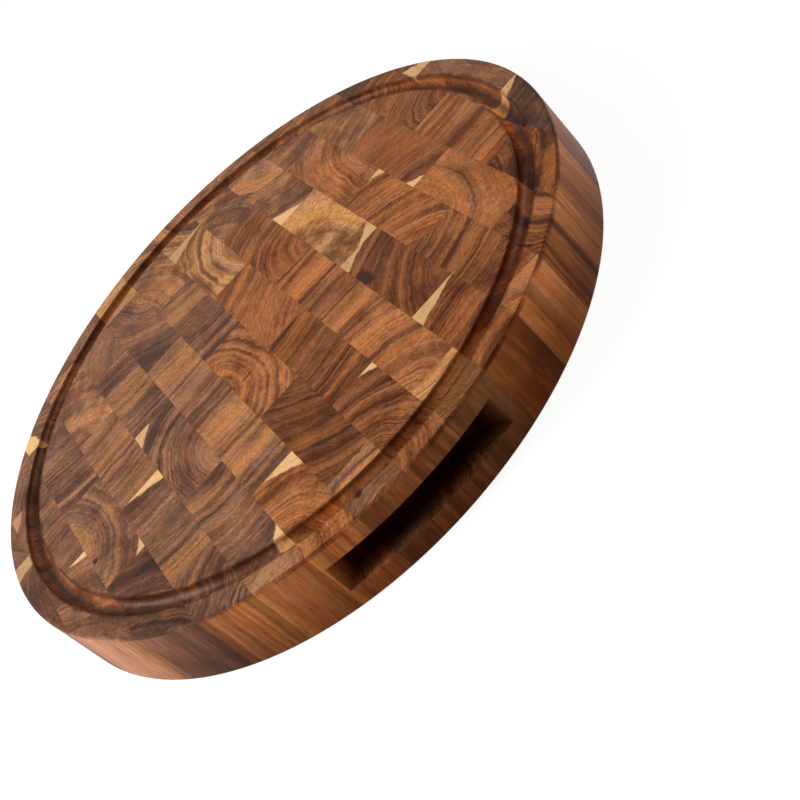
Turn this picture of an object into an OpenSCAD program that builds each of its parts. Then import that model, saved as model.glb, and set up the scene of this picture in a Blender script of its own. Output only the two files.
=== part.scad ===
// Round end-grain chopping block. Rows of hardwood blocks stand on end and are glued into
// strips, with the joints of every other strip set along, as bricks are. The glued slab is
// turned to a disc with eased edges. A juice groove runs round the top face, and a finger
// pocket is milled into the rim at each side.
// The origin is the centre of the underside. The pockets face -Y and +Y.

/* [Board] */
// Diameter of the board
board_d = 350; // [300:1:400]
// Thickness of the board
board_t = 38; // [32:0.5:50]
// Radius of the eased edges of the rim, top and bottom
edge_r = 1.5; // [0.5:0.1:3]

/* [Strips and blocks] */
// Width of one glued strip
strip_w = 26.2; // [25.4:0.1:40]
// Length of one block along its strip
block_len = 80; // [78:0.5:120]
// How far the joints of every other strip are set along
stagger = 40; // [20:0.5:60]
// Sideways place of the middle glue line
strip_shift = -6; // [-12:0.5:12]
// Place along the strips of the first joint
joint_shift = 18.7; // [-30:0.1:30]
// Angle of the strips against the line through the two finger pockets
strip_turn = 3; // [-10:0.5:10]
// Least offcut: a glue line closer than this to the rim or to a pocket is left out
offcut_min = 8; // [6:0.5:15]

/* [Juice groove] */
// Width of the flat rim outside the groove
groove_land = 12; // [8:0.5:25]
// Width of the groove at the top face
groove_w = 9.5; // [6:0.5:10]
// Depth of the groove
groove_depth = 5; // [5:0.25:9]

/* [Finger pockets] */
// Width of a pocket's mouth, straight across
pocket_w = 97; // [80:1:120]
// Height of a pocket
pocket_h = 17; // [12:0.5:20]
// Depth of a pocket behind the rim
pocket_depth = 24; // [15:0.5:28]
// Radius of the round cutter that mills the pockets
cutter_r = 35; // [32:0.5:50]

/* [Hidden] */
board_r = board_d / 2;
over = 1;               // how far cutting shapes run past a face
turn_facets = 360;      // facets of a full turn round the board in the preview
nose_facets = 48;       // facets of the small circles of its section

// A glue line is kept where it lies at least the least offcut inside the rim.
kept_r = board_r - offcut_min;
lines_left = floor((kept_r + strip_shift) / strip_w);
lines_right = floor((kept_r - strip_shift) / strip_w);
first_strip = -lines_left - 1;
last_strip = lines_right;

// The groove is one pass of a round-nosed cutter.
groove_nose_r = groove_w / 2;
groove_path_r = board_r - groove_land - groove_nose_r;
groove_nose_z = board_t - groove_depth + groove_nose_r;

// The pocket cutter stands upright and travels on an arc round the board's centre.
pocket_wall_r = board_r - pocket_depth;
cutter_path_r = pocket_wall_r + cutter_r;
mouth_angle = asin(pocket_w / 2 / board_r);
bite_angle = acos((pow(cutter_path_r, 2) + pow(board_r, 2) - pow(cutter_r, 2))
    / (2 * cutter_path_r * board_r));
travel_angle = mouth_angle - bite_angle;
pocket_z = (board_t - pocket_h) / 2;
pocket_zone = pocket_w / 2 + board_r * abs(sin(strip_turn));

// Tones of acacia heartwood, by the letter that block_tones uses
wood_tones = [
    ["G", [0.62, 0.41, 0.20]],  // golden
    ["T", [0.55, 0.36, 0.22]],  // tan
    ["O", [0.56, 0.31, 0.16]],  // orange brown
    ["R", [0.44, 0.23, 0.15]],  // red brown
    ["B", [0.38, 0.24, 0.15]],  // brown
    ["D", [0.27, 0.16, 0.12]],  // dark brown
];

// One word per strip, from left_7 to right_7, with one letter for each of its blocks, from
// front_3 to back_3. A dash marks a place where a board of 350 mm has no block.
block_tones = [
    "--BB--", "--RRB-", "-DTBB-", "-DBRTB", "ORRDD-", "-OTODG", "BDOBR-",
    "-RROGR", "OTORB-", "-BRGTT", "OORTB-", "-RORB-", "-DOTD-", "--DBR-",
];
tones_left = 7;    // strips at the left that have a word
tones_front = 3;   // blocks at the front that have a letter

// Glue line m between two strips. Strip k lies between the lines k and k + 1.
function glue_line(m) = strip_shift + m * strip_w;

// Sides of strip k. The outermost strips run past the rim.
function strip_left(k) = k == first_strip ? -board_r - over : glue_line(k);
function strip_right(k) = k == last_strip ? board_r + over : glue_line(k + 1);

// How far out along strip k a joint may lie: the least offcut away from the rim and, where
// a pocket may meet the strip, from the pocket's wall
function joint_reach(k) =
    let (left = strip_left(k), right = strip_right(k))
    let (nearest = left < 0 && right > 0 ? 0 : min(abs(left), abs(right)))
    let (rim_reach = sqrt(pow(board_r, 2) - pow(nearest, 2)))
    (nearest < pocket_zone ? min(rim_reach, pocket_wall_r) : rim_reach) - offcut_min;

// Joint j across strip k, and the numbers of the first and the last joint that are kept.
// Block j lies between the joints j - 1 and j.
function joint(k, j) =
    joint_shift - (k % 2 == 0 ? stagger : 0) + j * block_len;
function first_joint(k) =
    ceil((-joint_reach(k) - joint(k, 0)) / block_len);
function last_joint(k) =
    floor((joint_reach(k) - joint(k, 0)) / block_len);

// Ends of block j of strip k. The end blocks run past the rim.
function block_low(k, j) = j == first_joint(k) ? -board_r - over : joint(k, j - 1);
function block_high(k, j) = j == last_joint(k) + 1 ? board_r + over : joint(k, j);

// Names count outwards from the middle glue line and from joint 0, so a block keeps its
// name when the board or a block grows. Left is -X and front is -Y.
function strip_name(k) = k < 0 ? str("left_", -k) : str("right_", k + 1);
function end_name(j) = j < 1 ? str("front_", 1 - j) : str("back_", j);
function block_name(k, j) = str(strip_name(k), "_", end_name(j));

function tone_letter(k, j) =
    let (letter = block_tones[k + tones_left][j + tones_front - 1])
    is_undef(letter) || letter == "-" ? "B" : letter;
function tone(k, j) =
    [for (entry = wood_tones) if (entry[0] == tone_letter(k, j)) entry[1]][0];

// Every block, as the numbers of its strip and of its place along it
blocks = [
    for (k = [first_strip : last_strip])
        for (j = [first_joint(k) : last_joint(k) + 1]) [k, j]
];

// What the eased edge takes off the lower corner of the disc's half section
module edge_waste() {
    translate([board_r - edge_r, 0])
        difference() {
            translate([0, -over]) square([edge_r + over, edge_r + over]);
            translate([0, edge_r]) circle(r = edge_r, $fn = nose_facets);
        }
}

// The turned slab, before the groove and the pockets are cut
module disc() {
    rotate_extrude($fn = turn_facets)
        difference() {
            square([board_r, board_t]);
            edge_waste();
            translate([0, board_t]) mirror([0, 1]) edge_waste();
        }
}

// The ring that the round-nosed cutter takes out of the top face
module juice_groove() {
    rotate_extrude($fn = turn_facets)
        translate([groove_path_r, groove_nose_z]) {
            circle(r = groove_nose_r, $fn = nose_facets);
            translate([-groove_nose_r, 0])
                square([groove_w, groove_depth - groove_nose_r + over]);
        }
}

// What the pocket cutter takes out of the rim at -Y: its path along the arc,
// and its own round shape where the travel starts and ends
module finger_pocket() {
    translate([0, 0, pocket_z]) {
        rotate([0, 0, -90 - travel_angle])
            rotate_extrude(angle = 2 * travel_angle, $fn = turn_facets)
                translate([pocket_wall_r, 0]) square([2 * cutter_r, pocket_h]);
        for (end_angle = [-travel_angle, travel_angle])
            rotate([0, 0, end_angle])
                translate([0, -cutter_path_r, 0])
                    cylinder(r = cutter_r, h = pocket_h, $fn = turn_facets);
    }
}

// The sawn blank of one block, taller than the board and square at its ends
module blank(k, j) {
    rotate([0, 0, strip_turn])
        translate([strip_left(k), block_low(k, j), -over])
            cube([strip_right(k) - strip_left(k), block_high(k, j) - block_low(k, j),
                board_t + 2 * over]);
}

// One block of end grain, as it comes out of the finished board
module block(k, j) {
    color(tone(k, j))
        difference() {
            intersection() {
                disc();
                blank(k, j);
            }
            juice_groove();
            for (side = [0, 180]) rotate([0, 0, side]) finger_pocket();
        }
}

for (place = blocks)
    block(place[0], place[1]);
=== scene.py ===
# %% [markdown]
# # A round end-grain chopping block
# The board is a set of hardwood blocks that stand on end. They are glued into strips, the strips
# into a slab, and the slab is turned to a disc with a juice groove and two finger pockets. The solid
# blocks come ready made, each in its own place, so this lesson is about the wood itself: how to
# write one description of timber that gives end grain on top and long grain on the rim, and how to
# make sixty blocks that all look sawn from different boards.

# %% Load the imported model
import math
import bpy
from mathutils import Matrix, Vector


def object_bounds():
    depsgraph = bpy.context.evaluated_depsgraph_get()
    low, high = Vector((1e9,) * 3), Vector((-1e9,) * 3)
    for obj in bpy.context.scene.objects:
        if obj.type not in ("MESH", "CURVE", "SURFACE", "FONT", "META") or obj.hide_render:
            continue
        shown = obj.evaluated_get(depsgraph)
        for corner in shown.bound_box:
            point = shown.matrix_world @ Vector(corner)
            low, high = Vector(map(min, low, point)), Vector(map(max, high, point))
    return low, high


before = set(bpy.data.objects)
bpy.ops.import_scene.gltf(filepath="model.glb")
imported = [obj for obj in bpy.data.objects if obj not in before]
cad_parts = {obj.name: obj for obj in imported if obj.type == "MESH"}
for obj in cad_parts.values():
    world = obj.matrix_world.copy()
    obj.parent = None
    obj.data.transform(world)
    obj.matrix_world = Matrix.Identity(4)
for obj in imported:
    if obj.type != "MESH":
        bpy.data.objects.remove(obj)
cad_low, cad_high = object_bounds()
MM = 0.001
print("blocks:", len(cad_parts), "size in mm:", [round(v / MM, 1) for v in cad_high - cad_low])

# %% [markdown]
# ## The layout of the glue-up
# A block's grain is easiest to describe in the strips' own directions: x runs across the strips and
# y along them. The strips lie a few degrees off the line through the finger pockets. Measuring each
# solid would not tell where a block's middle is, because the rim has cut so many of them. So the
# sizes of the glue-up are written down once, as the solids have them, and a block's own name says
# where its glue lines are.

# %% Sizes of the glue-up
BOARD_T = cad_high.z - cad_low.z
BOARD_R = (cad_high.x - cad_low.x) / 2
STRIP_W = 26.2 * MM
BLOCK_LEN = 80 * MM
MIDDLE_LINE = -6 * MM
FIRST_JOINT = 18.7 * MM
STAGGER = 40 * MM
STRIP_TURN = math.radians(3)
print("board in mm:", round(2 * BOARD_R / MM), "across,", round(BOARD_T / MM), "thick")


# %% Where a block lies
def block_centre(name):
    """Centre of the whole block in the strips' directions, as if the rim had cut nothing off.
    A name such as left_3_front_2 counts strips from the middle line and blocks from joint 0."""
    side, strip, end, block = name.split("_")
    strip = -int(strip) if side == "left" else int(strip) - 1
    block = 1 - int(block) if end == "front" else int(block)
    joint = FIRST_JOINT - (STAGGER if strip % 2 == 0 else 0) + block * BLOCK_LEN
    return MIDDLE_LINE + (strip + 0.5) * STRIP_W, joint - BLOCK_LEN / 2


print("a middle block:", [round(v / MM, 1) for v in block_centre("right_1_back_1")])

# %% [markdown]
# ## Camera
# The camera comes first, because everything else is judged through it. The picture was taken from
# a little above the board, and the frame is tipped so far that the board seems to stand on its edge.
# A camera can be aimed with an empty and a constraint, but its roll is then hard to set. So its turn
# is built here from three directions: right, up and back.

# %% Place the camera
VIEW_ELEVATION = math.radians(33.16)
VIEW_AZIMUTH = math.radians(1.0)
VIEW_ROLL = math.radians(-46.95)
VIEW_DISTANCE = 759.4 * MM
AIM_RIGHT = 68.7 * MM
AIM_UP = -36.9 * MM
LENS = 69.3

back = Vector((
    math.sin(VIEW_AZIMUTH) * math.cos(VIEW_ELEVATION),
    -math.cos(VIEW_AZIMUTH) * math.cos(VIEW_ELEVATION),
    math.sin(VIEW_ELEVATION),
))
level = Vector((math.cos(VIEW_AZIMUTH), math.sin(VIEW_AZIMUTH), 0))
lift = back.cross(level)
right = level * math.cos(VIEW_ROLL) + lift * math.sin(VIEW_ROLL)
up = lift * math.cos(VIEW_ROLL) - level * math.sin(VIEW_ROLL)

camera = bpy.data.objects.new("camera", bpy.data.cameras.new("camera"))
bpy.context.scene.collection.objects.link(camera)
camera.data.lens = LENS
camera.data.sensor_width = 36
camera.data.clip_start = 0.01
place = Vector((0, 0, BOARD_T)) + right * AIM_RIGHT + up * AIM_UP + back * VIEW_DISTANCE
camera.matrix_world = Matrix.Translation(place) @ Matrix((right, up, back)).transposed().to_4x4()
bpy.context.scene.camera = camera
print("camera stands at, in mm:", [round(v / MM) for v in place])

# %% [markdown]
# ## Helpers for node trees
# Wood needs a few hundred small nodes. They could be wired by hand in the shader editor, but a
# script can be read, changed and run again. Small helpers keep it readable. One adds a node and
# feeds its sockets by name, with a value or with another node's output. The others do one step of
# arithmetic each, on numbers or on vectors, or start a node group.


# %% Helpers that add nodes and work on numbers
def add(tree, kind, feeds=None, **settings):
    """A new node. feeds maps a socket's name or number to a value or to another socket."""
    node = tree.nodes.new(kind)
    for name, value in settings.items():
        setattr(node, name, value)
    for key, feed in (feeds or {}).items():
        if isinstance(feed, bpy.types.NodeSocket):
            tree.links.new(feed, node.inputs[key])
        else:
            node.inputs[key].default_value = feed
    return node


def calc(tree, operation, *values, clamp=False):
    """The result of one arithmetic step on sockets or plain numbers."""
    node = add(tree, "ShaderNodeMath", dict(enumerate(values)), operation=operation, use_clamp=clamp)
    return node.outputs[0]


def smooth(tree, value, start, end):
    """0 where value is at start, 1 where it is at end, and an even slope between."""
    feeds = {"Value": value, "From Min": start, "From Max": end, "To Min": 0.0, "To Max": 1.0}
    return add(tree, "ShaderNodeMapRange", feeds, interpolation_type="SMOOTHSTEP").outputs["Result"]


# %% Helpers for vectors and node groups
def vector_calc(tree, operation, first, second):
    """The result of one arithmetic step on vectors. A dot product gives a plain number."""
    key = "Scale" if operation == "SCALE" else 1
    node = add(tree, "ShaderNodeVectorMath", {0: first, key: second}, operation=operation)
    return node.outputs["Value" if operation == "DOT_PRODUCT" else "Vector"]


def parts(tree, vector):
    """The x, y and z of a vector."""
    return add(tree, "ShaderNodeSeparateXYZ", {0: vector}).outputs


def reach(tree, x, y):
    """How far the point x, y lies from 0, 0."""
    squares = calc(tree, "ADD", calc(tree, "MULTIPLY", x, x), calc(tree, "MULTIPLY", y, y))
    return calc(tree, "SQRT", squares)


def new_group(name, inputs, outputs):
    """An empty node group with named sockets. Each entry is a name and a kind of socket."""
    group = bpy.data.node_groups.new(name, "ShaderNodeTree")
    for direction, sockets in (("INPUT", inputs), ("OUTPUT", outputs)):
        for title, kind in sockets:
            group.interface.new_socket(name=title, in_out=direction, socket_type="NodeSocket" + kind)
    return group, group.nodes.new("NodeGroupInput").outputs, group.nodes.new("NodeGroupOutput").inputs


# %% [markdown]
# ## Growth rings
# A tree grows in rings round its pith, and a block is a piece cut from somewhere beside it. So the
# pattern is one number: how far a point lies from the pith. Noise bends that distance, because no
# trunk is a perfect circle. Height is squeezed almost flat before the noise sees it, so the pattern
# hardly changes along the block, and the same rings give curved bands on the end grain and straight
# lines on the rim. A texture painted on the top alone could never meet the rim like that.

# %% The ring distance
rings, ins, outs = new_group(
    "growth_rings",
    [("Pith", "Vector"), ("Stretch", "Float"), ("Centre distance", "Float"), ("Seed", "Float")],
    [("Place", "Float"), ("Arc", "Float"), ("Grain", "Vector"), ("Strips", "Vector"),
     ("Long grain", "Float")],
)
GRAIN_SQUEEZE = 0.06
SEED_SKEW = 1.7
coords = add(rings, "ShaderNodeTexCoord").outputs
turn_feeds = {"Vector": coords["Object"], "Angle": -STRIP_TURN}
turned = add(rings, "ShaderNodeVectorRotate", turn_feeds, rotation_type="Z_AXIS").outputs[0]
flat = vector_calc(rings, "MULTIPLY", turned, (1, 1, GRAIN_SQUEEZE))
apart_feeds = {0: ins["Seed"], 1: calc(rings, "MULTIPLY", ins["Seed"], SEED_SKEW), 2: ins["Seed"]}
apart = add(rings, "ShaderNodeCombineXYZ", apart_feeds).outputs[0]
grain = vector_calc(rings, "ADD", flat, apart)


def bend(scale, width):
    """A sideways push of up to half of width, in metres, that changes over 1/scale metres."""
    feeds = {"Vector": grain, "Scale": scale, "Detail": 2.0, "Roughness": 0.6}
    noise = add(rings, "ShaderNodeTexNoise", feeds).outputs["Color"]
    return vector_calc(rings, "SCALE", vector_calc(rings, "SUBTRACT", noise, (0.5, 0.5, 0.5)), width)


trunk_bend = bend(22.0, 10 * MM)
ring_bend = bend(90.0, 2.8 * MM)
fibre_bend = bend(420.0, 0.6 * MM)
offset = vector_calc(rings, "SUBTRACT", turned, ins["Pith"])
for push in (trunk_bend, ring_bend, fibre_bend):
    offset = vector_calc(rings, "ADD", offset, push)
sides = parts(rings, offset)
squeezed = calc(rings, "DIVIDE", sides[1], ins["Stretch"])
distance = reach(rings, sides[0], squeezed)
angle = calc(rings, "ARCTAN2", squeezed, sides[0])
rings.links.new(calc(rings, "SUBTRACT", distance, ins["Centre distance"]), outs["Place"])
rings.links.new(calc(rings, "MULTIPLY", angle, distance), outs["Arc"])
rings.links.new(grain, outs["Grain"])
rings.links.new(turned, outs["Strips"])

FACES_UP = 0.85
STANDS_UP = 0.25
upright = calc(rings, "ABSOLUTE", parts(rings, coords["Normal"])[2])
rings.links.new(smooth(rings, upright, FACES_UP, STANDS_UP), outs["Long grain"])
print("growth_rings:", len(rings.nodes), "nodes")

# %% [markdown]
# ## Oiled acacia
# The second group turns the ring distance into colour, in two steps. First a tone, from dark to
# light: broad bands are the heartwood of different years, and streaks and patches make them uneven.
# Then a shade, which brightens or dims that colour: fine rings, thin dark lines of late wood, short
# dashes of cells along the rings and rays across them. The rim shows the same wood cut lengthwise,
# so there the rings are calmer, and short upright vessels take the place of dashes and rays. A
# single noise through a colour ramp would be quicker, but it gives the even stripes of a print.

# %% The inputs of the wood
wood, ins, outs = new_group(
    "oiled_acacia",
    [("Place", "Float"), ("Arc", "Float"), ("Grain", "Vector"), ("Strips", "Vector"),
     ("Long grain", "Float"), ("Plan", "Float"), ("Ring width", "Float"), ("Contrast", "Float"),
     ("Blotch", "Float"), ("Warmth", "Float"), ("Foot shade", "Float"), ("Rim tint", "Color"),
     ("Seed", "Float"), ("Dark", "Color"), ("Middle", "Color"), ("Light", "Color"),
     ("Sapwood", "Color"), ("Sapwood side", "Vector"), ("Sapwood line", "Float"),
     ("Knot place", "Vector"), ("Knot size", "Vector"),
     ("Block centre", "Vector"), ("Block half", "Vector")],
    [("Color", "Color"), ("Roughness", "Float"), ("Height", "Float")],
)
height_in_grain = parts(wood, ins["Grain"])[2]
print("inputs of the wood:", ", ".join(socket.name for socket in ins if socket.name))


# %% Helpers that add up, sway and mix
def total(tree, *values):
    """The sum of several sockets."""
    result = values[0]
    for value in values[1:]:
        result = calc(tree, "ADD", result, value)
    return result


def sway(tree, value, amount):
    """A noise that runs from 0 to 1, moved to run both ways from 0, times amount."""
    return calc(tree, "MULTIPLY", calc(tree, "SUBTRACT", value, 0.5), amount)


def mix(tree, share, first, second, blend="MIX"):
    """Two colours mixed. The node has inputs of one name for numbers, vectors and colours, so a
    colour's input is told by its number."""
    node = add(tree, "ShaderNodeMix", data_type="RGBA", blend_type=blend)
    for key, feed in ((0, share), (6, first), (7, second)):
        if isinstance(feed, bpy.types.NodeSocket):
            tree.links.new(feed, node.inputs[key])
        else:
            node.inputs[key].default_value = feed
    return node.outputs[2]


# %% [markdown]
# Blender's noise is round and blotchy, and as it is it suits the blotches and specks of timber. What
# it is fed with can give it a direction: fed with the ring distance alone it draws bands, fed with
# the distance and the way round it draws dashes along the rings or rays across them, and stretched
# upwards it draws the vessels of the rim.


# %% Four kinds of noise
def ring_noise(per_ring, detail, shift):
    """Noise that changes only with the ring distance, so it draws bands that follow the rings."""
    rings_out = calc(wood, "MULTIPLY", calc(wood, "DIVIDE", ins["Place"], ins["Ring width"]), per_ring)
    w = total(wood, rings_out, calc(wood, "MULTIPLY", ins["Seed"], shift))
    feeds = {"W": w, "Scale": 1.0, "Detail": detail, "Roughness": 0.65}
    return add(wood, "ShaderNodeTexNoise", feeds, noise_dimensions="1D").outputs["Fac"]


def grain_noise(scale, detail):
    """Noise across the end grain that runs on along the block. The scale is a count per metre."""
    feeds = {"Vector": ins["Grain"], "Scale": scale, "Detail": detail, "Roughness": 0.6}
    return add(wood, "ShaderNodeTexNoise", feeds).outputs["Fac"]


def ring_side_noise(across, along, detail=2.0):
    """Noise drawn out along the rings. Both scales are counts per metre."""
    feeds = {
        0: calc(wood, "MULTIPLY", ins["Place"], across), 1: calc(wood, "MULTIPLY", ins["Arc"], along),
        2: calc(wood, "MULTIPLY", height_in_grain, along),
    }
    spot = add(wood, "ShaderNodeCombineXYZ", feeds).outputs[0]
    feeds = {"Vector": spot, "Scale": 1.0, "Detail": detail, "Roughness": 0.6}
    return add(wood, "ShaderNodeTexNoise", feeds).outputs["Fac"]


def upright_noise(across, up):
    """Noise drawn out along the block, for long grain. Both scales are counts per metre."""
    stretched = vector_calc(wood, "MULTIPLY", ins["Strips"], (across, across, up))
    feeds = {"Vector": stretched, "Scale": 1.0, "Detail": 3.0, "Roughness": 0.65}
    return add(wood, "ShaderNodeTexNoise", feeds).outputs["Fac"]


# %% The noises of the wood
bands = ring_noise(per_ring=0.8, detail=1.0, shift=1.0)
year_rings = ring_noise(per_ring=2.4, detail=2.0, shift=5.3)
fine_rings = ring_noise(per_ring=5.0, detail=2.0, shift=3.1)
slow_rings = ring_noise(per_ring=1.6, detail=1.0, shift=9.1)
patches = ring_side_noise(across=90.0, along=30.0)
streaks = ring_side_noise(across=680.0, along=290.0)
dashes = ring_side_noise(across=950.0, along=750.0)
rays = ring_side_noise(across=260.0, along=950.0)
vessels = upright_noise(across=620.0, up=95.0)
blotches = grain_noise(scale=45.0, detail=5.0)
specks = grain_noise(scale=620.0, detail=3.0)
print("nodes with the noises:", len(wood.nodes))

# %% The tone, from dark to light
RIM_CALM = 0.72
BANDS_TONE = 2.6
YEAR_RINGS_TONE = 3.4
STREAKS_TONE = 2.2
BLOTCHES_TONE = 1.4
PATCHES_TONE = 0.8
DARKEST_TONE = -0.2
LIGHTEST_TONE = 1.2

end_grain = calc(wood, "SUBTRACT", 1.0, calc(wood, "MULTIPLY", ins["Long grain"], RIM_CALM))
vivid = calc(wood, "MULTIPLY", ins["Contrast"], end_grain)
uneven = calc(wood, "MULTIPLY", vivid, smooth(wood, patches, 0.25, 0.75))
tone = total(
    wood, ins["Plan"],
    calc(wood, "MULTIPLY", sway(wood, bands, BANDS_TONE), ins["Contrast"]),
    calc(wood, "MULTIPLY", sway(wood, year_rings, YEAR_RINGS_TONE), uneven),
    calc(wood, "MULTIPLY", sway(wood, streaks, STREAKS_TONE), vivid),
    calc(wood, "MULTIPLY", sway(wood, blotches, BLOTCHES_TONE), ins["Blotch"]),
    sway(wood, patches, PATCHES_TONE),
)
doubled = calc(wood, "MULTIPLY", smooth(wood, tone, DARKEST_TONE, LIGHTEST_TONE), 2.0)
lower = calc(wood, "ADD", doubled, 0.0, clamp=True)
upper = calc(wood, "SUBTRACT", doubled, 1.0, clamp=True)
heartwood = mix(wood, upper, mix(wood, lower, ins["Dark"], ins["Middle"]), ins["Light"])
print("nodes with the tone:", len(wood.nodes))

# %% The shade of rings, dashes, rays and vessels
LATE_WOOD_WIDTH = 0.05
LATE_WOOD_SHADE = -1.4
FINE_RINGS_SHADE = 2.2
DASHES_SHADE = 0.9
SPECKS_SHADE = 1.1
RAYS_SHADE = 0.9
VESSELS_SHADE = 1.35

off_line = calc(wood, "ABSOLUTE", calc(wood, "SUBTRACT", slow_rings, 0.5))
late_wood = calc(wood, "MULTIPLY", uneven, LATE_WOOD_SHADE)
fine_grain = total(
    wood, sway(wood, dashes, DASHES_SHADE), sway(wood, specks, SPECKS_SHADE), sway(wood, rays, RAYS_SHADE),
)
shade = total(
    wood, 1.0, calc(wood, "MULTIPLY", smooth(wood, off_line, LATE_WOOD_WIDTH, 0.0), late_wood),
    calc(wood, "MULTIPLY", sway(wood, fine_rings, FINE_RINGS_SHADE), uneven),
    calc(wood, "MULTIPLY", fine_grain, end_grain),
    calc(wood, "MULTIPLY", sway(wood, vessels, VESSELS_SHADE), ins["Long grain"]),
)
heartwood = vector_calc(wood, "SCALE", heartwood, shade)
print("nodes with the shade:", len(wood.nodes))

# %% [markdown]
# Real timber is never one hue made lighter or darker. Its heartwood drifts between yellow and
# violet, and more finely between green and red, so two tints are laid over the colour. Pores are
# the open ends of the vessels, small dark dots that come in clusters.


# %% The drift of the hue, and the pores
def tint(tree, colour, by, share=1.0):
    """A colour multiplied by another, as a stain or a scorch does. It also lays painted shade."""
    return mix(tree, share, colour, by, "MULTIPLY")


COOL_TINT = (0.94, 0.97, 1.15, 1.0)
WARM_TINT = (1.12, 1.0, 0.74, 1.0)
GREEN_TINT = (0.94, 1.04, 0.97, 1.0)
RED_TINT = (1.07, 0.96, 1.03, 1.0)
SLOW_DRIFT = 1.3
RING_DRIFT = 1.1
PATCH_DRIFT = 1.4
FINE_DRIFT = 1.8

slow_drift = sway(wood, grain_noise(scale=30.0, detail=3.0), SLOW_DRIFT)
ring_drift = sway(wood, ring_noise(per_ring=0.7, detail=1.0, shift=7.7), RING_DRIFT)
warmth = smooth(wood, total(wood, ins["Warmth"], slow_drift, ring_drift), 0.0, 1.0)
heartwood = tint(wood, heartwood, mix(wood, warmth, COOL_TINT, WARM_TINT))
patch_drift = sway(wood, ring_side_noise(across=150.0, along=60.0), PATCH_DRIFT)
fine_drift = sway(wood, grain_noise(scale=140.0, detail=4.0), FINE_DRIFT)
redness = smooth(wood, total(wood, 0.5, patch_drift, fine_drift), 0.0, 1.0)
heartwood = tint(wood, heartwood, mix(wood, redness, GREEN_TINT, RED_TINT))

PORES_PER_METRE = 750.0
PORE_SIZE = 0.42
PORE_CORE = 0.45
PORE_DARK = 0.5
cell_feeds = {"Vector": ins["Grain"], "Scale": PORES_PER_METRE}
from_pore = add(wood, "ShaderNodeTexVoronoi", cell_feeds).outputs["Distance"]
pore_size = calc(wood, "MULTIPLY", grain_noise(scale=120.0, detail=2.0), PORE_SIZE)
pores = smooth(wood, from_pore, pore_size, calc(wood, "MULTIPLY", pore_size, PORE_CORE))
heartwood = mix(wood, calc(wood, "MULTIPLY", pores, PORE_DARK), heartwood, ins["Dark"])
print("nodes with the drift and the pores:", len(wood.nodes))

# %% [markdown]
# ## Sapwood, knots and glue
# Sapwood is the pale wood under the bark, and a block that was cut near the outside keeps a wedge
# of it at one corner. A knot is where a branch left the trunk. Neither is a piece of its own, and
# both run straight down through the block. So they are drawn in the strips' directions, a wedge as
# what lies beyond a slanting line and a knot as an oval, and a noise makes their edges ragged. A
# thin dark line marks each glue joint.

# %% Sapwood wedge
SAP_RAGGED = 4.0 * MM
SAP_STREAKED = 2.0 * MM
SAP_SPECKED = 1.2 * MM
SAP_STARTS = -0.8 * MM
SAP_FULL = 0.6 * MM
across = vector_calc(wood, "DOT_PRODUCT", ins["Strips"], ins["Sapwood side"])
ragged = total(
    wood, calc(wood, "SUBTRACT", across, ins["Sapwood line"]),
    sway(wood, grain_noise(scale=70.0, detail=3.0), SAP_RAGGED),
    sway(wood, streaks, SAP_STREAKED), sway(wood, specks, SAP_SPECKED),
)
sap_share = smooth(wood, ragged, SAP_STARTS, SAP_FULL)
sap_grain = total(wood, streaks, sway(wood, patches, 1.2), sway(wood, specks, 0.8))
sap_colour = mix(wood, smooth(wood, sap_grain, 0.4, 1.1), ins["Sapwood"], ins["Light"])
timber = mix(wood, sap_share, heartwood, sap_colour)
print("nodes with the sapwood:", len(wood.nodes))


# %% Knot and glue line
def srgb(red, green, blue):
    """A colour as a picture shows it, from 0 to 255, as the linear colour that a shader takes."""
    def linear(value):
        share = value / 255
        return share / 12.92 if share <= 0.04045 else ((share + 0.055) / 1.055) ** 2.4
    return (linear(red), linear(green), linear(blue), 1.0)


KNOT_COLOUR = srgb(54, 28, 18)
KNOT_DARK = 0.92
KNOT_RAGGED = 0.9
KNOT_STARTS = 1.1
KNOT_FULL = 0.65
from_knot = vector_calc(wood, "SUBTRACT", ins["Strips"], ins["Knot place"])
from_knot = parts(wood, vector_calc(wood, "DIVIDE", from_knot, ins["Knot size"]))
knot_edge = sway(wood, grain_noise(scale=180.0, detail=3.0), KNOT_RAGGED)
knot_reach = total(wood, reach(wood, from_knot[0], from_knot[1]), knot_edge)
knot = smooth(wood, knot_reach, KNOT_STARTS, KNOT_FULL)
timber = mix(wood, calc(wood, "MULTIPLY", knot, KNOT_DARK), timber, KNOT_COLOUR)

GLUE_LINE = 0.35 * MM
GLUE_COLOUR = srgb(58, 30, 18)
from_centre = vector_calc(wood, "SUBTRACT", ins["Strips"], ins["Block centre"])
from_centre = add(wood, "ShaderNodeVectorMath", {0: from_centre}, operation="ABSOLUTE").outputs[0]
inside = parts(wood, vector_calc(wood, "SUBTRACT", ins["Block half"], from_centre))
glue = smooth(wood, calc(wood, "MINIMUM", inside[0], inside[1]), GLUE_LINE, 0.05 * MM)
glue_shows = smooth(wood, grain_noise(scale=70.0, detail=2.0), 0.4, 0.9)
glue_share = calc(wood, "MULTIPLY", glue, glue_shows)
timber = mix(wood, glue_share, timber, GLUE_COLOUR)
print("oiled_acacia before the cutters' marks:", len(wood.nodes), "nodes")
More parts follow.
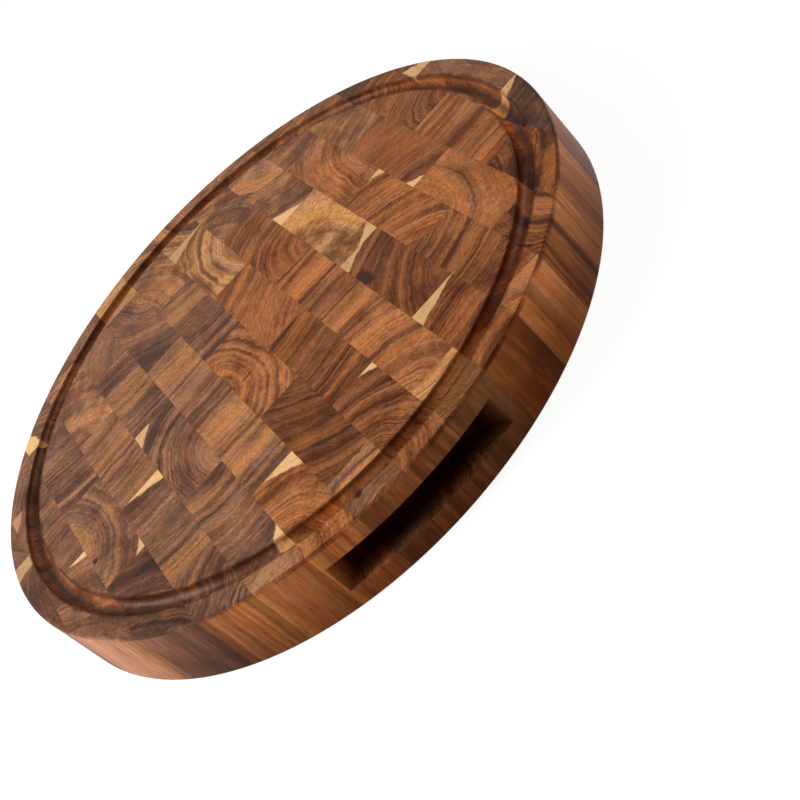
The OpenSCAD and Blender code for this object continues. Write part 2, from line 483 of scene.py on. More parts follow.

# %% [markdown]
# ## Where the wood was cut, and painted shade
# End grain drinks more oil than long grain, so the same wood is paler on the rim. Towards the
# rim's foot it grows darker again, which is painted shade. The groove's walls darken towards their
# upper edges, partly scorch from the cutter and partly painted shade, and dark lines run along the
# flat beside the groove and along the rim's top edge. The groove is smoother, and darker than the
# top, partly burn and partly painted shade, with honey coloured patches. It is lighter where it runs
# along the strips, and darker at the back, which is painted shade. The finger pockets grow dark
# towards their back wall, which is painted shade too. Each could be a material on its own faces,
# but a shade or a scorch has no edge to end at. So each is told by its place on the board, fades
# out evenly and runs on from one block to the next.

# %% Sizes and colours of the cuts
GROOVE_LAND = 12 * MM
GROOVE_HALF = 4.75 * MM
GROOVE_MIDDLE = BOARD_R - GROOVE_LAND - GROOVE_HALF
GROOVE_FLOOR = BOARD_T - 5 * MM
POCKET_HEIGHT = 17 * MM
POCKET_MARGIN = 0.1 * MM
POCKET_LOW = (BOARD_T - POCKET_HEIGHT) / 2 - POCKET_MARGIN
POCKET_HIGH = BOARD_T - POCKET_LOW
# The rim's top tint is the long grain's own paleness. The foot tint is painted shade.
RIM_TINT_TOP = (2.0, 1.85, 1.7, 1.0)
RIM_FOOT_SHADE = (0.92, 0.74, 0.6, 1.0)
# The groove's tint is partly painted shade of the recess and partly the cutter's burn.
GROOVE_TINT = (0.82, 0.68, 0.58, 1.0)
HONEY_TINT = (1.15, 0.84, 0.54, 1.0)
ALONG_TINT = (1.24, 1.22, 1.12, 1.0)
# This tint is painted shade at the back of the groove.
BACK_SHADE_TINT = (0.66, 0.56, 0.42, 1.0)
# This tint darkens the groove's upper walls, partly as scorch and partly as painted shade, and the dark
# lines along the edges.
EDGE_DARK_TINT = (0.3, 0.2, 0.14, 1.0)
# This tint is painted shade inside the finger pockets.
POCKET_SHADE_TINT = (0.28, 0.18, 0.13, 1.0)
BAND_WOBBLE = 4.0 * MM
BESIDE_GROOVE_DARK = 0.75
print("groove in mm:", round(2 * GROOVE_HALF / MM, 1), "wide, middle at", round(GROOVE_MIDDLE / MM, 2))

# %% Masks of the groove, the pockets and the rim
at = parts(wood, ins["Strips"])
radius = reach(wood, at[0], at[1])
band_wobble = sway(wood, grain_noise(scale=90.0, detail=3.0), BAND_WOBBLE)
off_groove = calc(wood, "ABSOLUTE", calc(wood, "SUBTRACT", radius, GROOVE_MIDDLE))
in_groove = calc(
    wood, "MULTIPLY", smooth(wood, off_groove, GROOVE_HALF + 0.35 * MM, GROOVE_HALF - 0.2 * MM),
    smooth(wood, at[2], GROOVE_FLOOR - 1 * MM, GROOVE_FLOOR - 0.5 * MM),
)
# A dark band on the flat along both edges of the groove.
beside_groove = calc(
    wood, "MULTIPLY",
    smooth(wood, total(wood, off_groove, band_wobble), GROOVE_HALF + 1.6 * MM, GROOVE_HALF + 0.1 * MM),
    calc(wood, "SUBTRACT", BESIDE_GROOVE_DARK, in_groove, clamp=True),
)
# Painted shade: the finger pockets darken from their mouth towards the back wall.
pocket_shade = calc(
    wood, "MULTIPLY", smooth(wood, radius, BOARD_R - 0.5 * MM, BOARD_R - 11 * MM),
    calc(wood, "MULTIPLY", smooth(wood, at[2], POCKET_LOW - POCKET_MARGIN, POCKET_LOW),
         smooth(wood, at[2], POCKET_HIGH + POCKET_MARGIN, POCKET_HIGH)),
)
on_rim = calc(wood, "MULTIPLY", ins["Long grain"], calc(wood, "SUBTRACT", 1.0, in_groove))
# A dark line along the rim's top edge, broken into patches by noise.
on_edge = calc(
    wood, "MULTIPLY", smooth(wood, radius, BOARD_R - 1.5 * MM, BOARD_R - 0.6 * MM),
    smooth(wood, at[2], BOARD_T - 2.4 * MM, BOARD_T - 1.2 * MM),
)
edge_patches = smooth(wood, grain_noise(scale=40.0, detail=2.0), 0.3, 0.7)
on_edge = calc(wood, "MULTIPLY", on_edge, edge_patches)
print("nodes with the masks:", len(wood.nodes))

# %% Colour, roughness and relief
# Painted shade: the rim darkens towards its foot along a wobbly line, as strongly as each block asks.
foot_wobble = sway(wood, grain_noise(scale=50.0, detail=2.0), 0.5)
up_rim = calc(wood, "ADD", calc(wood, "DIVIDE", at[2], BOARD_T), foot_wobble)
foot_shaded = calc(wood, "MULTIPLY", smooth(wood, up_rim, 1.0, 0.0), ins["Foot shade"])
rim_tint = tint(wood, mix(wood, foot_shaded, RIM_TINT_TOP, RIM_FOOT_SHADE), ins["Rim tint"])
honey = smooth(wood, grain_noise(scale=55.0, detail=3.0), 0.52, 0.66)
along_strips = smooth(wood, calc(wood, "ABSOLUTE", calc(wood, "DIVIDE", at[0], radius)), 0.8, 0.96)
# Painted shade: the groove is darker at the back of the board.
at_back = smooth(wood, calc(wood, "DIVIDE", at[1], radius), 0.85, 1.0)
# Partly scorch and partly painted shade: the groove's walls darken towards their upper edges.
scorch_and_shade = smooth(wood, total(wood, at[2], band_wobble), BOARD_T - 3.2 * MM, BOARD_T - 0.5 * MM)
# The groove's tint, partly painted shade and partly burn, with honey patches and lighter along the strips.
groove_floor = mix(wood, honey, GROOVE_TINT, HONEY_TINT)
groove_floor = tint(wood, groove_floor, ALONG_TINT, along_strips)
groove_floor = tint(wood, groove_floor, BACK_SHADE_TINT, at_back)
groove_tint = mix(wood, scorch_and_shade, groove_floor, EDGE_DARK_TINT)
# The rim's foot, the groove and the pockets get painted shade here, with the dark lines along the edges.
marks = (
    (rim_tint, on_rim), (EDGE_DARK_TINT, on_edge), (EDGE_DARK_TINT, beside_groove),
    (groove_tint, in_groove), (POCKET_SHADE_TINT, pocket_shade),
)
for mark_tint, where in marks:
    timber = tint(wood, timber, mark_tint, where)
wood.links.new(timber, outs["Color"])

ROUGHNESS = 0.45
PORES_ROUGH = 0.2
SPECKS_ROUGH = 0.2
PATCHES_ROUGH = 0.15
GROOVE_POLISH = -0.12
RINGS_RELIEF = 0.6
DASHES_RELIEF = 0.4
rough = total(
    wood, ROUGHNESS, calc(wood, "MULTIPLY", pores, PORES_ROUGH), sway(wood, specks, SPECKS_ROUGH),
    sway(wood, patches, PATCHES_ROUGH), calc(wood, "MULTIPLY", in_groove, GROOVE_POLISH),
)
wood.links.new(rough, outs["Roughness"])
relief = total(
    wood, calc(wood, "MULTIPLY", pores, -1.0), calc(wood, "MULTIPLY", fine_rings, RINGS_RELIEF),
    calc(wood, "MULTIPLY", dashes, DASHES_RELIEF), calc(wood, "MULTIPLY", glue, -1.0),
)
wood.links.new(relief, outs["Height"])
print("oiled_acacia:", len(wood.nodes), "nodes")

# %% [markdown]
# ## Tones
# The blocks come from different boards, so they range from gold to purple brown. One colour made
# lighter and darker looks like plastic, so each tone has a dark, a middle and a light colour that
# were chosen one by one, and the bands run between them. The last four are colours of sapwood.

# %% The tones of the blocks
TONES = {
    "golden": (srgb(110, 70, 36), srgb(159, 109, 69), srgb(195, 143, 93)),
    "tan": (srgb(91, 58, 40), srgb(144, 99, 69), srgb(179, 125, 86)),
    "orange": (srgb(94, 50, 24), srgb(148, 92, 54), srgb(180, 117, 73)),
    "brown": (srgb(76, 49, 38), srgb(122, 84, 61), srgb(155, 110, 80)),
    "red": (srgb(76, 38, 17), srgb(124, 73, 40), srgb(156, 98, 60)),
    "maroon": (srgb(65, 31, 13), srgb(112, 65, 35), srgb(141, 88, 51)),
    "dark": (srgb(50, 32, 23), srgb(88, 57, 41), srgb(119, 79, 58)),
}
CREAM = srgb(229, 180, 124)
STRAW = srgb(210, 165, 113)
SAND = srgb(182, 142, 103)
PEACH = srgb(182, 128, 90)
print("tones:", ", ".join(TONES))

# %% [markdown]
# ## One block's grain
# Each block is a few choices, as a sawyer would see them: its tone, where the pith lay from the
# block's middle (in mm, across and along the strip), how wide the rings are, which bands are darker,
# lighter or warmer than the rest, and which corner holds sapwood. A band's place is counted in mm
# from the block's middle, outwards from the pith. A small group adds one band to a running total,
# so a block may have as many as it needs. A full tree for each block would repeat everything sixty
# times, so a block's own material is small and only feeds the two shared groups.

# %% One band of rings
one_band, ins, outs = new_group(
    "one_band",
    [("So far", "Float"), ("Place", "Float"), ("Middle", "Float"), ("Width", "Float"),
     ("Strength", "Float")],
    [("Total", "Float")],
)
BAND_ENDS = 0.8
BAND_FULL = 0.25
beside = calc(one_band, "ABSOLUTE", calc(one_band, "SUBTRACT", ins["Place"], ins["Middle"]))
ends_at = calc(one_band, "MULTIPLY", ins["Width"], BAND_ENDS)
full_at = calc(one_band, "MULTIPLY", ins["Width"], BAND_FULL)
raised = calc(one_band, "MULTIPLY", smooth(one_band, beside, ends_at, full_at), ins["Strength"])
one_band.links.new(calc(one_band, "ADD", ins["So far"], raised), outs["Total"])
print("one_band:", len(one_band.nodes), "nodes")


# %% Bands and the sapwood's edge
def with_bands(tree, place, bands):
    """0.5, raised or lowered by half a band's strength where the ring distance is in a band."""
    result = 0.5
    for middle, width, strength in bands:
        feeds = {
            "So far": result, "Place": place, "Middle": middle * MM, "Width": width * MM,
            "Strength": strength / 2,
        }
        result = add(tree, "ShaderNodeGroup", feeds, node_tree=one_band).outputs["Total"]
    return result


def sap_edge(centre, sap):
    """Direction and distance of the line that parts sapwood from heartwood at a corner, and the
    sapwood's colour. Without sapwood the line lies a metre away."""
    if sap is None:
        return (0, 0, 0), 1.0, CREAM
    corner, along, side = sap[:3]
    toward_x = -1 if "left" in corner else 1
    toward_y = 1 if "top" in corner else -1
    normal = Vector((toward_x * side, toward_y * along, 0)).normalized()
    start_y = centre[1] + toward_y * (BLOCK_LEN / 2 - side * MM)
    start = Vector((centre[0] + toward_x * STRIP_W / 2, start_y, 0))
    return normal, normal.dot(start), sap[3] if len(sap) > 3 else CREAM


# %% Build a block's material
SEED_STEP = 0.37
BUMP_STRENGTH = 0.35
BUMP_HEIGHT = 0.06 * MM
GLOSS = 0.05
NO_KNOT = (0, 1000, 1, 1)
planted = []


# The argument after knot sets how strongly the rim darkens towards its foot, which is painted shade.
def plant(name, tone, pith, rings_mm=5.0, stretch=1.0, contrast=0.4, blotch=1.0, dark=(), light=(),
          warm=(), sap=None, knot=None, foot_shade=1.0, rim=(1.0, 1.0, 1.0)):
    """Gives one block its wood."""
    centre = block_centre(name)
    seed = len(planted) * SEED_STEP
    material = bpy.data.materials.new("acacia_" + name)
    material.use_nodes = True
    tree = material.node_tree
    tree.nodes.clear()
    ring = add(tree, "ShaderNodeGroup", {
        "Pith": (centre[0] + pith[0] * MM, centre[1] + pith[1] * MM, 0), "Stretch": stretch,
        "Centre distance": math.hypot(pith[0], pith[1] / stretch) * MM, "Seed": seed,
    }, node_tree=rings).outputs
    dark_bands = [(place, width, -strength) for place, width, strength in dark]
    side, line, pale = sap_edge(centre, sap)
    knot_x, knot_y, knot_width, knot_length = knot or NO_KNOT
    feeds = {title: ring[title] for title in ("Place", "Arc", "Grain", "Strips", "Long grain")}
    feeds.update({
        "Plan": with_bands(tree, ring["Place"], dark_bands + list(light)),
        "Warmth": with_bands(tree, ring["Place"], warm), "Ring width": rings_mm * MM,
        "Blotch": blotch, "Foot shade": foot_shade, "Rim tint": (*rim, 1.0), "Contrast": contrast, "Seed": seed,
        "Dark": TONES[tone][0], "Middle": TONES[tone][1], "Light": TONES[tone][2],
        "Sapwood": pale, "Sapwood side": side, "Sapwood line": line,
        "Knot place": (centre[0] + knot_x * MM, centre[1] + knot_y * MM, 0),
        "Knot size": (knot_width / 2 * MM, knot_length / 2 * MM, 1),
        "Block centre": (*centre, 0), "Block half": (STRIP_W / 2, BLOCK_LEN / 2, 0),
    })
    look = add(tree, "ShaderNodeGroup", feeds, node_tree=wood).outputs
    bump_feeds = {"Height": look["Height"], "Strength": BUMP_STRENGTH, "Distance": BUMP_HEIGHT}
    bump = add(tree, "ShaderNodeBump", bump_feeds)
    shader = add(tree, "ShaderNodeBsdfPrincipled", {
        "Base Color": look["Color"], "Roughness": look["Roughness"],
        "Normal": bump.outputs["Normal"], "Specular IOR Level": GLOSS,
    })
    add(tree, "ShaderNodeOutputMaterial", {"Surface": shader.outputs[0]})
    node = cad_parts[name]
    node.data.materials.clear()
    node.data.materials.append(material)
    planted.append(name)


# %% [markdown]
# ## The sixty blocks
# A loop with random choices would fill the board in a few lines, but then no block would be the one
# that was glued in at that place. So each is written out. The strips are planted from left to right
# and each from the front pocket to the back. In a sapwood entry the top is the back end of the
# block, and the two numbers are how far the wedge reaches across and along. A knot is its place and
# its size, across and along.

# %% Strips left_7 to left_4
plant("left_7_front_1", "dark", (60, -10), contrast=0.3, light=[(0, 60, 0.3)],
      sap=("top_left", 49, 19, SAND))
plant("left_7_back_1", "brown", (80, 0), contrast=0.25, dark=[(0, 60, 0.25)])
plant("left_6_front_1", "tan", (-60, -60), contrast=0.3, light=[(28, 6, 0.4)],
      dark=[(14, 6, 0.4), (0, 60, 0.5)], sap=("top_right", 10, 4.7), foot_shade=0.2, rim=(1.05, 1.07, 1.06))
plant("left_6_back_1", "brown", (10, -120), contrast=0.35,
      dark=[(-13.5, 2.5, 0.5), (5, 2, 0.4), (24, 12, 0.3)], sap=("top_left", 9, 14, PEACH))
plant("left_6_back_2", "brown", (40, -50), contrast=0.5, blotch=1.6, light=[(-10, 6, 0.8)],
      dark=[(-21, 9, 0.8)])
plant("left_5_front_2", "dark", (-60, -60), contrast=0.3, light=[(18, 2, 0.6), (-15.5, 1.5, 0.5)],
      dark=[(26, 6, 0.6), (-9, 3.5, 1.0)], foot_shade=1.3, rim=(0.9, 0.92, 0.94))
plant("left_5_front_1", "brown", (-17, 9), stretch=1.9, contrast=0.3, blotch=1.5,
      light=[(-11, 10, 0.7), (7.5, 2, 0.5)], warm=[(-11, 12, 0.5), (7.5, 3, 0.6)],
      dark=[(2, 3, 0.3), (12, 3, 0.35), (22, 10, 0.4)], sap=("bottom_right", 6, 9, STRAW),
      knot=(-11, -15, 3, 4))
plant("left_5_back_1", "brown", (30, 100), contrast=0.4, blotch=1.3,
      light=[(31, 2.5, 1.0), (-10, 2.5, 0.4)],
      dark=[(37, 7, 1.0), (24.5, 6, 0.8), (8, 10, 0.5), (-20, 30, 0.25)])
plant("left_5_back_2", "brown", (-30, -60), contrast=0.4, sap=("bottom_left", 12, 38))
plant("left_4_front_2", "brown", (40, -40), contrast=0.42,
      dark=[(0, 50, 0.3), (10, 3, 0.6), (22, 3, 0.6)], light=[(16, 2, 0.4)], rim=(1.4, 1.2, 0.74))
plant("left_4_front_1", "brown", (10, 140), contrast=0.4, light=[(34, 12, 0.9), (-14, 2, 0.7)],
      warm=[(33, 14, 1.0), (-14, 3, 0.5)], dark=[(22, 5, 0.8), (2, 8, 0.3), (-18, 2, 0.6), (-33, 7, 0.9)],
      sap=("top_right", 23, 9))
plant("left_4_back_1", "tan", (-20, 200), contrast=0.35,
      dark=[(1.5, 3, 0.9), (24, 26, 0.3), (-26, 10, 0.3)], light=[(-9, 4, 0.6)], warm=[(-9, 4, 0.8)])
plant("left_4_back_2", "tan", (-30, -70), stretch=1.4, contrast=0.3, blotch=2.4, dark=[(0, 60, 0.35)],
      light=[(-14, 8, 0.5)])
plant("left_4_back_3", "brown", (40, 60), contrast=0.3)
print("blocks planted:", len(planted))

# %% Strips left_3 to left_1
plant("left_3_front_3", "tan", (-10, 40), contrast=0.45, light=[(-20, 30, 0.4)], sap=("top_right", 8, 9),
      rim=(0.86, 0.74, 0.56))
plant("left_3_front_2", "brown", (2, 52), contrast=0.35, blotch=1.3,
      light=[(6, 2, 0.5), (-18, 2, 0.5), (-26.5, 4, 0.6)],
      warm=[(6, 3, 0.7), (-18, 3, 0.9), (-27, 5, 0.7)],
      dark=[(-14, 2, 0.5), (-22, 2.5, 0.6), (-34, 6, 0.5), (24, 16, 0.3)], sap=("bottom_right", 7, 11))
plant("left_3_front_1", "brown", (15, -30), stretch=1.6, contrast=0.4, blotch=1.6, light=[(-17, 9, 0.9)],
      warm=[(-17, 10, 0.6)], dark=[(-7, 3, 0.4), (18, 5, 0.7), (26, 3, 0.4)],
      sap=("top_left", 11, 13, STRAW))
plant("left_3_back_1", "brown", (20, 200), contrast=0.4, blotch=1.3, light=[(0, 22, 0.8), (33, 1.5, 0.5)],
      warm=[(0, 26, 0.8)], dark=[(5, 1, 0.5), (18, 5, 0.6), (38, 4, 0.6), (-20, 8, 0.9), (-29.5, 5, 0.8)])
plant("left_3_back_2", "brown", (60, -60), contrast=0.18, blotch=1.2, light=[(18, 14, 0.35)])
plant("left_2_front_2", "orange", (-24, -16), contrast=0.42, blotch=1.4,
      light=[(-18, 14, 0.7), (6, 12, 0.3)], warm=[(-10, 40, 0.4)], dark=[(20, 6, 0.6), (2, 1.5, 0.5)],
      sap=("top_right", 18, 13))
plant("left_2_front_1", "tan", (0, 220), contrast=0.35, light=[(-20, 24, 0.8), (15, 9, 0.8)],
      warm=[(-20, 30, 0.5), (15, 9, 1.0)],
      dark=[(37, 7, 1.0), (27, 2, 0.7), (22, 1, 0.5), (-3, 3, 0.9), (-39, 3, 0.8)])
plant("left_2_back_1", "tan", (0, 250), contrast=0.35, light=[(8, 8, 0.5), (-20, 22, 0.5)],
      warm=[(-20, 26, 0.6)], dark=[(37, 9, 1.0), (29, 3, 0.9), (19, 3, 0.5), (-3, 2, 0.6)])
plant("left_2_back_2", "brown", (40, 39), contrast=0.28, blotch=1.3, light=[(4.5, 2, 0.6), (-26, 9, 0.8)],
      warm=[(4.5, 4, 0.8), (-26, 12, 0.9)], dark=[(26, 26, 0.8), (-2.6, 3, 0.5)])
plant("left_2_back_3", "golden", (0, -60), contrast=0.3, light=[(0, 60, 0.8)], dark=[(-10, 8, 0.5)])
plant("left_1_front_3", "tan", (0, -60), contrast=0.5, dark=[(-18, 5, 0.5), (11, 14, 0.65)],
      knot=(-6, 22, 5, 13), rim=(0.88, 0.74, 0.58))
plant("left_1_front_2", "maroon", (50, 76), contrast=0.32, light=[(28, 4, 0.7), (7, 2, 0.5)],
      dark=[(-20, 2, 0.8), (-9, 2, 0.5), (0, 3, 0.5), (13, 3, 0.6), (19, 5, 0.5), (-20, 40, 0.2)])
plant("left_1_front_1", "orange", (-17, 2), stretch=1.7, rings_mm=3.0, contrast=0.36, blotch=1.4,
      light=[(8, 2, 0.5), (3.5, 1.5, 0.4), (-6, 2, 0.4), (16, 2, 0.4)],
      dark=[(11, 2, 0.35), (5.6, 1.5, 0.3), (-2, 3, 0.3), (-12, 4, 0.3), (20, 3, 0.5)],
      knot=(-3, -3.5, 9, 1.8))
plant("left_1_back_1", "brown", (25, 120), contrast=0.38, blotch=1.7,
      light=[(30, 4, 0.75), (-20, 12, 0.7)], warm=[(30, 5, 0.8), (-20, 18, 0.8)],
      dark=[(37, 6, 1.0), (24, 4, 0.7), (13, 3, 0.5), (-15, 1.5, 0.5), (-37, 5, 0.9)])
plant("left_1_back_2", "tan", (-60, -40), contrast=0.3, blotch=2.2, dark=[(0, 60, 0.45)],
      warm=[(-10, 12, 0.9)])
print("blocks planted:", len(planted))

# %% Strips right_1 to right_3
plant("right_1_front_2", "red", (-25, -22), rings_mm=4.5, contrast=0.5, dark=[(10, 3, 0.6), (-2, 2, 0.5)],
      light=[(4, 2.5, 0.8), (-9, 2, 0.6), (-16, 2, 0.6)], sap=("top_right", 8, 6), rim=(0.9, 0.92, 0.95))
plant("right_1_front_1", "red", (-30, 140), contrast=0.4,
      light=[(-7.5, 2, 0.5), (-31, 2, 0.6), (30, 2, 0.4)],
      dark=[(38, 3, 0.9), (33.5, 2, 0.8), (26, 4, 0.8), (21, 2, 0.6), (-38, 4, 1.0), (-18, 14, 0.3)],
      warm=[(-20, 20, 0.8)])
plant("right_1_back_1", "orange", (50, -70), contrast=0.3, warm=[(0, 60, 0.3)], dark=[(34, 8, 0.7)])
plant("right_1_back_2", "golden", (20, -20), stretch=2.0, contrast=0.3, blotch=1.8,
      light=[(-7.5, 4, 0.8), (1.5, 2.5, 0.7), (6.5, 1.5, 0.6)],
      dark=[(-13, 4, 0.5), (-3, 2, 0.6), (4, 1.5, 0.6), (11.5, 5, 0.9)], sap=("top_left", 27, 12.5, SAND))
plant("right_1_back_3", "tan", (60, 0), contrast=0.5, blotch=1.6, light=[(12, 6, 0.4)],
      dark=[(0, 7, 0.6)])
plant("right_2_front_3", "golden", (0, 60), contrast=0.45, light=[(-35, 12, 0.9)], dark=[(-16, 16, 0.9)],
      warm=[(-35, 12, 0.5)], rim=(0.78, 0.78, 0.78))
plant("right_2_front_2", "orange", (-19, -44), contrast=0.36, blotch=1.3,
      light=[(-30, 2.5, 0.7), (-24, 2, 0.5), (-12, 3, 0.5), (13, 12, 0.9), (0, 60, 0.12)],
      dark=[(-0.5, 3, 0.8), (-20, 2, 0.5), (33, 8, 0.8)], warm=[(13, 14, 0.6)])
plant("right_2_front_1", "orange", (0, 250), contrast=0.35, light=[(-15, 11, 0.7), (36, 6, 0.7)],
      warm=[(-15, 14, 0.6)],
      dark=[(-5.5, 3, 0.9), (-29, 5, 0.6), (13, 2, 0.6), (22, 2, 0.5), (3, 8, 0.3), (-38, 4, 0.5)])
plant("right_2_back_1", "red", (14, -36), stretch=1.3, rings_mm=3.5, contrast=0.42, blotch=1.2,
      light=[(-22, 2, 0.8), (-14, 2, 0.7), (-8, 1.5, 0.5), (10, 2, 0.5), (0, 60, 0.2)],
      dark=[(-18, 2, 0.5), (0, 4, 0.3), (24, 12, 0.3)], warm=[(-18, 16, 0.4)])
plant("right_2_back_2", "tan", (-50, -50), contrast=0.3, blotch=2.0, light=[(6, 6, 0.55)],
      warm=[(6, 8, 1.0), (0, 60, 0.3)], dark=[(-3, 2.5, 0.5), (-10, 3, 0.4), (0, 60, 0.4)])
plant("right_3_front_2", "red", (20, -120), contrast=0.42, blotch=1.3,
      light=[(13, 4, 0.8), (-14, 7, 0.9), (-6, 3, 0.4)], dark=[(24, 3, 0.8), (-26, 5, 0.4), (3, 3, 0.4)],
      warm=[(0, 60, 0.4)], sap=("top_left", 27, 11, STRAW), foot_shade=1.5, rim=(1.15, 1.2, 1.25))
plant("right_3_front_1", "maroon", (50, -60), rings_mm=4.5, contrast=0.4, blotch=1.3,
      light=[(27, 2.5, 1.0)], dark=[(22, 3, 0.6)], warm=[(-10, 30, 0.6)], sap=("top_left", 16, 9, STRAW),
      knot=(-11, 15.5, 10, 17))
plant("right_3_back_1", "golden", (-20, -40), stretch=2.2, rings_mm=6.0, contrast=0.14, blotch=3.4,
      light=[(8, 9, 0.7)], dark=[(-9, 4, 0.6), (20, 6, 0.4)], warm=[(6, 10, 0.7)],
      sap=("bottom_right", 14, 11, STRAW))
plant("right_3_back_2", "tan", (40, 60), contrast=0.28, blotch=2.2, dark=[(27, 6, 0.7), (0, 30, 0.3)],
      light=[(-15.5, 5, 0.7)], warm=[(-15.5, 8, 1.0), (0, 60, 0.3)], sap=("bottom_left", 16, 13))
plant("right_3_back_3", "tan", (0, -50), contrast=0.4, blotch=1.4, dark=[(0, 50, 0.3)])
print("blocks planted:", len(planted))

# %% Strips right_4 to right_7
plant("right_4_front_3", "orange", (20, 60), contrast=0.25, light=[(-10, 60, 0.3), (-36, 14, 0.9)],
      foot_shade=1.3)
plant("right_4_front_2", "red", (-24, 76), contrast=0.4, blotch=1.3,
      light=[(-6, 8, 0.7), (-28, 3, 0.8), (-36, 2, 0.6)],
      dark=[(22, 10, 0.4), (-14, 3, 0.7), (-32.5, 2, 0.6), (-20, 3, 0.4)])
plant("right_4_front_1", "orange", (-42, -70), contrast=0.4,
      dark=[(29, 6, 0.9), (-10, 2, 0.6), (6, 2, 0.5)], warm=[(0, 60, 0.3)], sap=("top_right", 8, 7))
plant("right_4_back_1", "orange", (26, -30), stretch=2.0, contrast=0.35, blotch=1.5, light=[(-6, 8, 0.3)])
plant("right_4_back_2", "tan", (10, 60), contrast=0.4, blotch=1.6, dark=[(0, 60, 0.35)],
      warm=[(0, 60, 0.5)])
plant("right_5_front_2", "red", (30, 30), contrast=0.5, blotch=1.8,
      light=[(-17, 8, 1.4), (12, 4, 0.9), (-3, 3, 0.4)],
      dark=[(5, 3, 0.8), (-9, 2.5, 1.0), (19, 4, 0.8), (0, 60, 0.2)], foot_shade=1.2, rim=(0.98, 1.14, 1.28))
plant("right_5_front_1", "orange", (-20, 24), stretch=2.0, contrast=0.22, dark=[(0.7, 1.2, 0.8)],
      light=[(-10, 14, 0.6), (6, 6, 0.3)], warm=[(-10, 16, 0.7), (10, 10, 0.3)])
plant("right_5_back_1", "red", (-60, -140), contrast=0.3, light=[(4, 56, 0.45)], dark=[(-31, 5, 0.9)],
      warm=[(-2, 30, 0.4)], sap=("bottom_left", 8, 8.5))
plant("right_5_back_2", "tan", (30, -100), contrast=0.3, blotch=1.4, light=[(-30, 3, 0.4)],
      dark=[(-26, 2, 0.4), (0, 60, 0.35)], warm=[(0, 60, 0.9)])
plant("right_6_front_2", "maroon", (-60, 60), contrast=0.5, blotch=2.6,
      light=[(11, 3, 1.1), (2, 3, 1.0), (-9, 3, 0.8)], dark=[(6, 2, 0.7), (-4, 3, 0.7)],
      warm=[(0, 60, 1.0)], rim=(1.06, 1.22, 1.5))
plant("right_6_front_1", "orange", (0, 250), contrast=0.35,
      dark=[(-1.5, 7, 0.9), (-26, 4, 0.6), (23, 2, 0.6), (36, 8, 0.4), (0, 60, 0.15)],
      light=[(-13, 8, 0.3)])
plant("right_6_back_1", "red", (16, -40), rings_mm=4.0, contrast=0.4,
      light=[(-20, 2, 0.6), (-8, 2, 0.5), (4, 2, 0.4)])
plant("right_6_back_2", "dark", (-40, 60), contrast=0.3)
plant("right_7_front_1", "dark", (20, -80), contrast=0.4, blotch=1.4, dark=[(12, 24, 0.5)],
      sap=("top_left", 23, 14, STRAW), rim=(1.42, 1.26, 0.98))
plant("right_7_back_1", "tan", (90, 0), contrast=0.3, dark=[(0, 60, 0.3)])
plant("right_7_back_2", "dark", (60, -60), contrast=0.5, blotch=1.4, sap=("bottom_left", 20, 15, STRAW))
print("blocks planted:", len(planted), "left bare:", sorted(set(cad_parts) - set(planted)))

# %% [markdown]
# ## Floor
# The board lies on a plain pale floor. A white floor under bright lamps would do, but it throws so
# much light up at the rim that the pocket is no longer dark. So to the light the floor is grey, and
# it keeps the board's shadow, and to the camera it also glows, which makes it nearly white. A Light
# Path node tells the two apart.


# %% Floor
def round_plate(name, radius, z, corner_count=96):
    """A flat round plate that faces up."""
    step = 2 * math.pi / corner_count
    corners = [(radius * math.cos(i * step), radius * math.sin(i * step), z) for i in range(corner_count)]
    mesh = bpy.data.meshes.new(name)
    mesh.from_pydata(corners, [], [list(range(corner_count))])
    obj = bpy.data.objects.new(name, mesh)
    bpy.context.scene.collection.objects.link(obj)
    return obj


def seen_glow(tree, strength):
    """Light that only the camera, mirrors and glass see, so it makes a pale floor or sky and
    puts no light on the wood."""
    path = add(tree, "ShaderNodeLightPath").outputs
    seen = total(tree, path["Is Camera Ray"], path["Is Glossy Ray"])
    seen = calc(tree, "ADD", seen, path["Is Transmission Ray"], clamp=True)
    return calc(tree, "MULTIPLY", seen, strength)


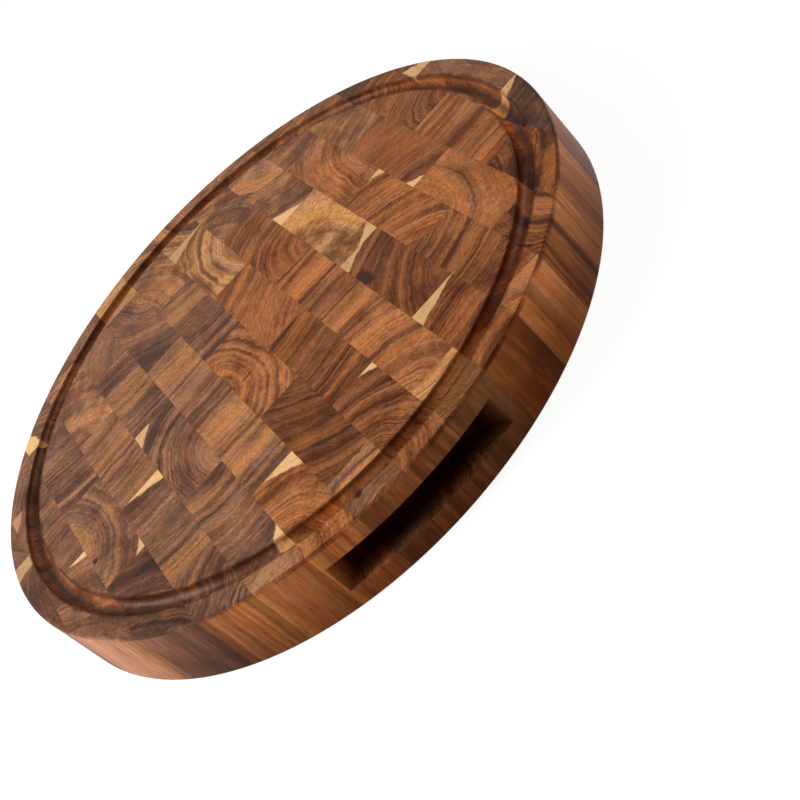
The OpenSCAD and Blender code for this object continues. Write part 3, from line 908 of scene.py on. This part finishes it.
FLOOR_RADIUS = 20.0
FLOOR_GAP = 0.05 * MM
FLOOR_GREY = 0.22
FLOOR_GLOW = 0.88
floor = round_plate("floor", FLOOR_RADIUS, -FLOOR_GAP)
floor_paint = bpy.data.materials.new("floor_paint")
floor_paint.use_nodes = True
paint = floor_paint.node_tree
paint.nodes.clear()
lit = add(paint, "ShaderNodeBsdfDiffuse", {"Color": (FLOOR_GREY, FLOOR_GREY, FLOOR_GREY, 1)})
glow = add(paint, "ShaderNodeEmission", {"Color": (1, 1, 1, 1), "Strength": seen_glow(paint, FLOOR_GLOW)})
both = add(paint, "ShaderNodeAddShader", {0: lit.outputs[0], 1: glow.outputs[0]})
add(paint, "ShaderNodeOutputMaterial", {"Surface": both.outputs[0]})
floor.data.materials.append(floor_paint)
print("floor:", 2 * FLOOR_RADIUS, "m across, the camera sees it at", FLOOR_GLOW, "and more where it is lit")

# %% [markdown]
# ## Light
# A large soft lamp at the left brightens the rim there, a weaker one stands at the right, and a
# faint one in front only lifts the shadows. So the front of the rim stays in shade, and the finger
# pocket reads as a deep hole. A ready-made studio sky would light the rim from all sides and lose
# that. Here the sky gives the wood a weak, even fill, and to the camera it glows as brightly as the
# far floor, which hides the horizon.


# %% Lamps and world
def softbox(name, place_at, size, power):
    """A square area lamp that faces the middle of the board."""
    lamp = bpy.data.lights.new(name, "AREA")
    lamp.size = size
    lamp.energy = power
    obj = bpy.data.objects.new(name, lamp)
    bpy.context.scene.collection.objects.link(obj)
    obj.location = place_at
    obj.rotation_mode = "QUATERNION"
    obj.rotation_quaternion = (LAMP_AIM - Vector(place_at)).to_track_quat("-Z", "Y")
    return obj


LAMP_AIM = Vector((0, 0, 20 * MM))
softbox("left_light", (-1.2, 0.1, 0.75), size=0.7, power=27)
softbox("right_light", (1.25, 0.1, 0.7), size=0.7, power=8)
softbox("front_light", (-0.2, -1.4, 0.75), size=0.9, power=2)

FILL = 0.2
SKY_GLOW = FLOOR_GLOW + FLOOR_GREY * FILL
world = bpy.data.worlds.new("studio")
bpy.context.scene.world = world
world.use_nodes = True
sky = world.node_tree
sky.nodes.clear()
strength = calc(sky, "ADD", seen_glow(sky, SKY_GLOW - FILL), FILL)
backdrop = add(sky, "ShaderNodeBackground", {"Color": (1, 1, 1, 1), "Strength": strength})
add(sky, "ShaderNodeOutputWorld", {"Surface": backdrop.outputs[0]})
bpy.context.scene.view_settings.view_transform = "Standard"
